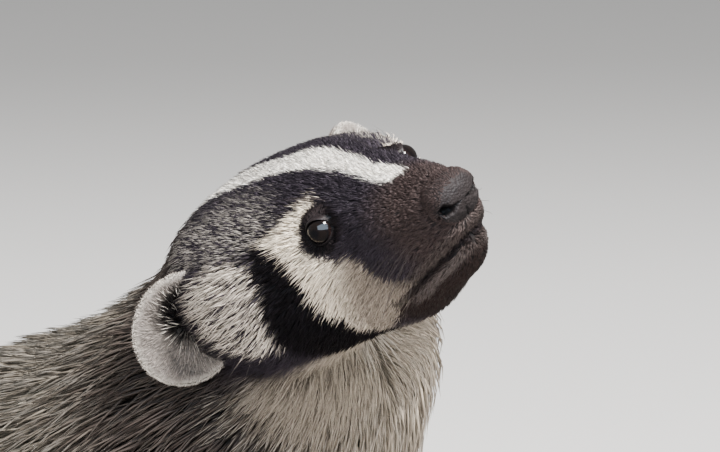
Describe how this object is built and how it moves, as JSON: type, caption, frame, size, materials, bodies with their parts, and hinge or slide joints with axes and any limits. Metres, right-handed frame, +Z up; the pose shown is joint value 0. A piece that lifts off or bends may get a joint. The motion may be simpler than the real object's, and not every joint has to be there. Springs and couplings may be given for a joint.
{
  "type": "american badger",
  "caption": "American badger, still life-size model: half crouched on four feet, neck raised, head cocked to its right, mouth shut.",
  "frame": {"origin": "on the floor, under the middle of the whole animal's box", "axes": "+X the way the torso faces, +Y the animal's left, +Z up"},
  "size_m": [0.6106, 0.251, 0.3112],
  "materials": {
    "body_coat": "grizzled long coat",
    "face_coat": "short dense coat with white stripe and cheeks",
    "ear_coat": "fine pale coat",
    "leg_coat": "short dark coat",
    "nose_leather": "moist pebbled skin",
    "eye": "wet cornea",
    "claw": "worn horn"
  },
  "bodies": {
    "root": {"head": "face_coat", "nose_pad": "nose_leather", "neck": "body_coat", "torso": "body_coat", "tail": "body_coat", "eye_left": "eye", "ear_left": "ear_coat", "foreleg_left": "leg_coat", "forefoot_left": "leg_coat", "foreclaw_left_1": "claw", "foreclaw_left_2": "claw", "foreclaw_left_3": "claw", "foreclaw_left_4": "claw", "foreclaw_left_5": "claw", "hindleg_left": "leg_coat", "hindfoot_left": "leg_coat", "hindclaw_left_1": "claw", "hindclaw_left_2": "claw", "hindclaw_left_3": "claw", "hindclaw_left_4": "claw", "hindclaw_left_5": "claw", "eye_right": "eye", "ear_right": "ear_coat", "foreleg_right": "leg_coat", "forefoot_right": "leg_coat", "foreclaw_right_1": "claw", "foreclaw_right_2": "claw", "foreclaw_right_3": "claw", "foreclaw_right_4": "claw", "foreclaw_right_5": "claw", "hindleg_right": "leg_coat", "hindfoot_right": "leg_coat", "hindclaw_right_1": "claw", "hindclaw_right_2": "claw", "hindclaw_right_3": "claw", "hindclaw_right_4": "claw", "hindclaw_right_5": "claw"}
  },
  "joints": []
}
